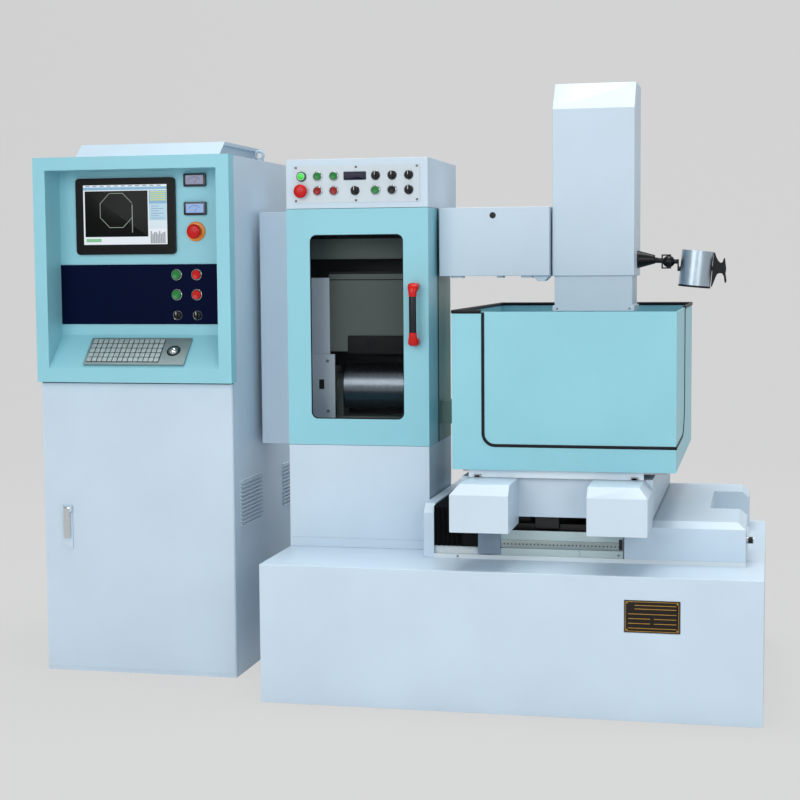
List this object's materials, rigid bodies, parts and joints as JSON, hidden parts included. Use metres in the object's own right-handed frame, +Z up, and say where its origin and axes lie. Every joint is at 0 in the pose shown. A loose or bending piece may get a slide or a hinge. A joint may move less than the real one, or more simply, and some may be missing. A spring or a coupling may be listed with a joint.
{
  "type": "wire EDM machine",
  "caption": "Wire electrical discharge machine with a cross slide, tank, wire drum unit and head column, beside its tall control cabinet.",
  "frame": {"origin": "middle of the whole footprint, machine and cabinet together, on the floor", "axes": "+X to the operator's right, +Y from the operator towards the back, +Z up"},
  "size_m": [2.18, 1.08, 1.783],
  "materials": {
    "body_paint": "satin pale blue-grey machine enamel",
    "base_paint": "satin off-white enamel",
    "teal_paint": "satin light teal enamel",
    "olive_paint": "satin grey-green enamel",
    "ground_steel": "ground",
    "drum_metal": "fine turned",
    "cast_grey": "dark machine enamel over casting",
    "bellows_black": "matt coated cloth",
    "ceramic": "glazed ceramic",
    "window_glass": "smoked",
    "handle_black": "smooth moulded",
    "panel_metal": "fine satin",
    "lamp_black": "black enamel",
    "lamp_metal": "spun, satin",
    "latch_metal": "plated",
    "screen_black": "smooth bezel",
    "meter_white": "moulded",
    "navy_paint": "satin navy enamel",
    "keyboard_metal": "satin",
    "key_plastic": "fine grain",
    "ball_black": "polished",
    "rack_grey": "grey enamel",
    "red_plastic": "smooth",
    "green_plastic": "smooth",
    "black_plastic": "fine grain"
  },
  "bodies": {
    "frame": {"bed": "body_paint", "x_base": "base_paint", "way_covers": "body_paint", "x_bellows": "bellows_black", "lower_arm": "olive_paint", "upper_arm": "body_paint", "z_column": "body_paint", "drum_pedestal": "body_paint", "drum_housing": "olive_paint", "side_cover": "body_paint", "drum_bench": "cast_grey", "control_box": "body_paint", "control_panel": "panel_metal", "lamp_base": "lamp_black", "cabinet_body": "body_paint", "console_frame": "teal_paint", "cabinet_roof": "teal_paint", "monitor": "screen_black", "panel_meters": "meter_white", "switch_panel": "navy_paint", "keyboard": "keyboard_metal", "power_rack": "rack_grey"},
    "x_slide": {"x_carriage": "body_paint"},
    "lead_screw": {"x_screw": "ground_steel"},
    "y_table": {"work_table": "ground_steel", "tank": "teal_paint"},
    "cover": {"splash_cover": "teal_paint"},
    "ram": {"z_ram": "body_paint"},
    "upper_wheel": {"upper_pulley": "ceramic"},
    "lower_wheel": {"lower_pulley": "ceramic"},
    "drum_slide": {"drum_carriage": "cast_grey"},
    "drum": {"wire_drum": "drum_metal"},
    "housing_door": {"drum_door": "teal_paint", "door_window": "window_glass", "door_handle": "handle_black"},
    "cabinet_door": {"cabinet_door": "body_paint"},
    "latch": {"door_latch": "latch_metal"},
    "lamp_arm": {"lamp_arm": "lamp_black"},
    "lamp_shade": {"lamp_shade": "lamp_metal"},
    "keys": {"keyboard_keys": "key_plastic"},
    "trackball": {"trackball": "ball_black"},
    "stop_button": {"stop_button": "red_plastic"},
    "drum_on_button": {"drum_on_button": "green_plastic"},
    "pump_on_button": {"pump_on_button": "green_plastic"},
    "drum_off_button": {"drum_off_button": "red_plastic"},
    "pump_off_button": {"pump_off_button": "red_plastic"},
    "pulse_on_button": {"pulse_on_button": "green_plastic"},
    "reset_button": {"reset_button": "black_plastic"},
    "cabinet_stop_button": {"cabinet_stop_button": "red_plastic"},
    "main_on_button": {"main_on_button": "green_plastic"},
    "main_off_button": {"main_off_button": "red_plastic"},
    "run_on_button": {"run_on_button": "green_plastic"},
    "run_off_button": {"run_off_button": "red_plastic"},
    "mode_selector": {"mode_selector": "black_plastic"},
    "current_knob": {"current_knob": "black_plastic"},
    "width_knob": {"width_knob": "black_plastic"},
    "interval_knob": {"interval_knob": "black_plastic"},
    "speed_knob": {"speed_knob": "black_plastic"},
    "left_selector": {"left_selector": "black_plastic"},
    "right_selector": {"right_selector": "black_plastic"}
  },
  "joints": [
    {"name": "x_travel", "type": "slide", "parent": "frame", "child": "x_slide", "axis": [1, 0, 0], "range_m": [-0.06, 0.16], "deforming": ["x_bellows"]},
    {"name": "x_screw_turn", "type": "hinge", "parent": "frame", "child": "lead_screw", "pos_m": [0.68, -0.24, 0.46], "axis": [1, 0, 0], "range_deg": [-4321, 11521]},
    {"name": "y_travel", "type": "slide", "parent": "x_slide", "child": "y_table", "axis": [0, 1, 0], "range_m": [-0.16, 0.16]},
    {"name": "cover_pull", "type": "slide", "parent": "y_table", "child": "cover", "axis": [0, -1, 0], "range_m": [0, 0.45]},
    {"name": "z_travel", "type": "slide", "parent": "frame", "child": "ram", "axis": [0, 0, 1], "range_m": [-0.12, 0.08]},
    {"name": "drum_traverse", "type": "slide", "parent": "frame", "child": "drum_slide", "axis": [1, 0, 0], "range_m": [-0.03, 0.03]},
    {"name": "drum_spin", "type": "hinge", "parent": "drum_slide", "child": "drum", "pos_m": [-0.0905, 0.007, 0.875], "axis": [1, 0, 0], "range_deg": [-36000, 36000]},
    {"name": "housing_door_swing", "type": "hinge", "parent": "frame", "child": "housing_door", "pos_m": [-0.33, -0.074, 1.064], "axis": [0, 0, 1], "range_deg": [-80, 0]},
    {"name": "cabinet_door_swing", "type": "hinge", "parent": "frame", "child": "cabinet_door", "pos_m": [-0.484, -0.278, 0.45], "axis": [0, 0, 1], "range_deg": [0, 100]},
    {"name": "latch_lift", "type": "hinge", "parent": "cabinet_door", "child": "latch", "pos_m": [-1.013, -0.2965, 0.509], "axis": [-1, 0, 0], "range_deg": [0, 60]},
    {"name": "lamp_swing", "type": "hinge", "parent": "frame", "child": "lamp_arm", "pos_m": [0.798, 0.0408, 1.253], "axis": [0, 0, 1], "range_deg": [-40, 40]},
    {"name": "lamp_tilt", "type": "hinge", "parent": "lamp_arm", "child": "lamp_shade", "pos_m": [0.879, 0.0408, 1.231], "axis": [1, 0, 0], "range_deg": [-40, 40]},
    {"name": "upper_wheel_spin", "type": "hinge", "parent": "ram", "child": "upper_wheel", "pos_m": [0.562, 0.005, 1.07], "axis": [0, 1, 0], "continuous": true},
    {"name": "lower_wheel_spin", "type": "hinge", "parent": "frame", "child": "lower_wheel", "pos_m": [0.562, 0.005, 0.862], "axis": [0, 1, 0], "continuous": true},
    {"name": "keys_press", "type": "slide", "parent": "frame", "child": "keys", "axis": [0, 0.6754, -0.7374], "range_m": [0, 0.0025], "stiffness_N_per_m": 800},
    {"name": "trackball_roll", "type": "hinge", "parent": "frame", "child": "trackball", "pos_m": [-0.66442, -0.26956, 0.99088], "axis": [1, 0, 0], "continuous": true},
    {"name": "stop_button_press", "type": "slide", "parent": "frame", "child": "stop_button", "axis": [0, 1, 0], "range_m": [0, 0.004], "stiffness_N_per_m": 800},
    {"name": "drum_on_button_press", "type": "slide", "parent": "frame", "child": "drum_on_button", "axis": [0, 1, 0], "range_m": [0, 0.004], "stiffness_N_per_m": 800},
    {"name": "pump_on_button_press", "type": "slide", "parent": "frame", "child": "pump_on_button", "axis": [0, 1, 0], "range_m": [0, 0.004], "stiffness_N_per_m": 800},
    {"name": "drum_off_button_press", "type": "slide", "parent": "frame", "child": "drum_off_button", "axis": [0, 1, 0], "range_m": [0, 0.004], "stiffness_N_per_m": 800},
    {"name": "pump_off_button_press", "type": "slide", "parent": "frame", "child": "pump_off_button", "axis": [0, 1, 0], "range_m": [0, 0.004], "stiffness_N_per_m": 800},
    {"name": "pulse_on_button_press", "type": "slide", "parent": "frame", "child": "pulse_on_button", "axis": [0, 1, 0], "range_m": [0, 0.004], "stiffness_N_per_m": 800},
    {"name": "reset_button_press", "type": "slide", "parent": "frame", "child": "reset_button", "axis": [0, 1, 0], "range_m": [0, 0.004], "stiffness_N_per_m": 800},
    {"name": "cabinet_stop_button_press", "type": "slide", "parent": "frame", "child": "cabinet_stop_button", "axis": [0, 1, 0], "range_m": [0, 0.004], "stiffness_N_per_m": 800},
    {"name": "main_on_button_press", "type": "slide", "parent": "frame", "child": "main_on_button", "axis": [0, 1, 0], "range_m": [0, 0.004], "stiffness_N_per_m": 800},
    {"name": "main_off_button_press", "type": "slide", "parent": "frame", "child": "main_off_button", "axis": [0, 1, 0], "range_m": [0, 0.004], "stiffness_N_per_m": 800},
    {"name": "run_on_button_press", "type": "slide", "parent": "frame", "child": "run_on_button", "axis": [0, 1, 0], "range_m": [0, 0.004], "stiffness_N_per_m": 800},
    {"name": "run_off_button_press", "type": "slide", "parent": "frame", "child": "run_off_button", "axis": [0, 1, 0], "range_m": [0, 0.004], "stiffness_N_per_m": 800},
    {"name": "mode_selector_turn", "type": "hinge", "parent": "frame", "child": "mode_selector", "pos_m": [-0.10658, -0.24, 1.46951], "axis": [0, 1, 0], "range_deg": [-45, 45]},
    {"name": "current_knob_turn", "type": "hinge", "parent": "frame", "child": "current_knob", "pos_m": [-0.04377, -0.24, 1.51305], "axis": [0, 1, 0], "range_deg": [-140, 140]},
    {"name": "width_knob_turn", "type": "hinge", "parent": "frame", "child": "width_knob", "pos_m": [0.00633, -0.24, 1.51305], "axis": [0, 1, 0], "range_deg": [-140, 140]},
    {"name": "interval_knob_turn", "type": "hinge", "parent": "frame", "child": "interval_knob", "pos_m": [0.05643, -0.24, 1.51305], "axis": [0, 1, 0], "range_deg": [-140, 140]},
    {"name": "speed_knob_turn", "type": "hinge", "parent": "frame", "child": "speed_knob", "pos_m": [0.05643, -0.24, 1.46951], "axis": [0, 1, 0], "range_deg": [-140, 140]},
    {"name": "left_selector_turn", "type": "hinge", "parent": "frame", "child": "left_selector", "pos_m": [-0.67129, -0.24, 1.10027], "axis": [0, 1, 0], "range_deg": [-45, 45]},
    {"name": "right_selector_turn", "type": "hinge", "parent": "frame", "child": "right_selector", "pos_m": [-0.6071, -0.24, 1.10027], "axis": [0, 1, 0], "range_deg": [-45, 45]}
  ],
  "couplings": [
    {"joint": "x_screw_turn", "follows": "x_travel", "rad_per_m": 1256.6},
    {"joint": "drum_traverse", "follows": "drum_spin", "m_per_rad": 0.000047747}
  ]
}
